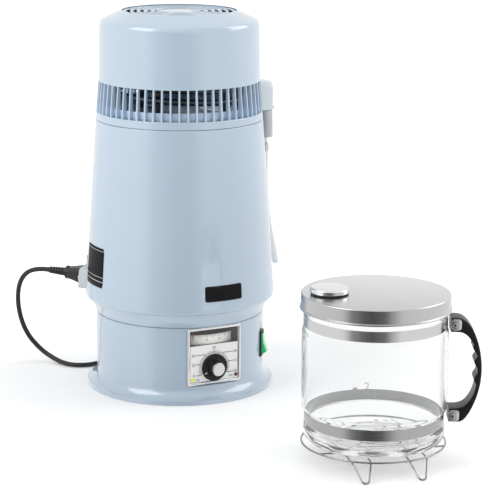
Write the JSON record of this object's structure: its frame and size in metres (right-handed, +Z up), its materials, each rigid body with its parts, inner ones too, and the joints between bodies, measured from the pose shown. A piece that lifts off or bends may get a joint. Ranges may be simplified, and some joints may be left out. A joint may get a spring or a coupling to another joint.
{
  "type": "countertop water distiller",
  "caption": "Countertop water distiller: painted still with boiler tank, lift-off fan head, dial controller, filter cup and drip hose, and a steel-lidded glass jug on a wire stand.",
  "frame": {"origin": "centre of the still's flat underside, on the floor under its axis", "axes": "+Z up the still's axis, -Y out through the temperature controller, +X to the controller's right seen from the front"},
  "size_m": [0.3358, 0.7797, 0.4645],
  "materials": {
    "painted_shell": "gloss, very pale blue",
    "steel": "satin",
    "polished_steel": "polished",
    "coil_steel": "satin tube",
    "aluminium_part": "satin",
    "black_plastic": "fine texture",
    "gloss_black": "gloss",
    "grey_plastic": "light grey",
    "silver_plastic": "silver grey",
    "white_plastic": "white",
    "dark_steel": "black",
    "black_rubber": "matt",
    "seal_rubber": "translucent white silicone",
    "clear_plastic": "clear",
    "cup_plastic": "translucent pale grey",
    "hose_silicone": "translucent silicone",
    "white_card": "matt scale",
    "red_plastic": "gloss",
    "yellow_lens": "translucent",
    "dark_red_lens": "translucent",
    "green_rocker": "translucent green",
    "jug_glass": "clear",
    "brass_pins": "plated",
    "charcoal": "felt pod of charcoal"
  },
  "bodies": {
    "still": {"base_housing": "painted_shell", "bottom_plate": "dark_steel", "rubber_feet": "black_rubber", "bottom_screws": "steel", "collar_ring": "painted_shell", "barrel_shell": "painted_shell", "boiler_tank": "steel", "heating_ring": "aluminium_part", "thermostat": "grey_plastic", "inlet_surround": "grey_plastic", "power_inlet": "black_plastic", "inlet_screws": "steel", "fan_socket": "black_plastic", "name_plate": "gloss_black", "rating_plate": "gloss_black", "controller_bezel": "silver_plastic", "controller_case": "black_plastic", "controller_face": "white_plastic", "meter_window": "clear_plastic", "meter_scale": "white_card", "heating_lamp": "yellow_lens", "standby_lamp": "dark_red_lens", "switch_frame": "black_plastic", "mains_connector": "black_plastic", "mains_lead": "black_rubber", "mains_lead_coil": "black_rubber", "mains_lead_end": "black_rubber", "mains_plug": "black_plastic", "plug_pins": "brass_pins"},
    "head": {"head_cover": "painted_shell", "head_floor": "steel", "gasket_ring": "seal_rubber", "condenser_coil": "coil_steel", "motor_bracket": "steel", "fan_motor": "dark_steel", "spout_body": "white_plastic"},
    "fan": {"fan_rotor": "black_plastic"},
    "cup": {"filter_cup": "cup_plastic", "charcoal_pod": "charcoal", "hose_collar": "steel", "drip_hose": "hose_silicone"},
    "knob": {"temperature_knob": "gloss_black", "knob_cap": "aluminium_part", "control_shaft": "steel"},
    "pointer": {"meter_pointer": "red_plastic"},
    "rocker": {"switch_rocker": "green_rocker"},
    "stand": {"jug_stand": "polished_steel"},
    "jug": {"jug_glass": "jug_glass", "lower_band": "polished_steel", "upper_band": "polished_steel", "jug_handle": "black_plastic", "handle_bolts": "steel"},
    "lid": {"jug_lid": "polished_steel", "lid_seal": "seal_rubber"},
    "cap": {"fill_cap": "polished_steel", "cap_gasket": "black_rubber"}
  },
  "joints": [
    {"name": "head_lift", "type": "slide", "parent": "still", "child": "head", "axis": [0, 0, 1], "range_m": [0, 0.12]},
    {"name": "fan_spin", "type": "hinge", "parent": "head", "child": "fan", "pos_m": [0, 0, 0.439], "axis": [0, 0, 1], "continuous": true},
    {"name": "cup_pull", "type": "slide", "parent": "head", "child": "cup", "axis": [0, 0, -1], "range_m": [0, 0.012]},
    {"name": "knob_turn", "type": "hinge", "parent": "still", "child": "knob", "pos_m": [0, -0.11, 0.0411], "axis": [0, -1, 0], "range_deg": [0, 270]},
    {"name": "pointer_swing", "type": "hinge", "parent": "still", "child": "pointer", "pos_m": [0, -0.0353, 0.0787], "axis": [0, 0, 1], "range_deg": [0, 48]},
    {"name": "rocker_flip", "type": "hinge", "parent": "still", "child": "rocker", "pos_m": [0.08106, -0.06564, 0.054], "axis": [0.6293, 0.7771, 0], "range_deg": [0, 24]},
    {"name": "stand_lift", "type": "slide", "parent": "still", "child": "stand", "axis": [0, 0, 1], "range_m": [0, 0.06]},
    {"name": "jug_lift", "type": "slide", "parent": "stand", "child": "jug", "axis": [0, 0, 1], "range_m": [0, 0.15]},
    {"name": "lid_lift", "type": "slide", "parent": "jug", "child": "lid", "axis": [0, 0, 1], "range_m": [0, 0.06]},
    {"name": "cap_lift", "type": "slide", "parent": "lid", "child": "cap", "axis": [0, 0, 1], "range_m": [0, 0.03]}
  ]
}
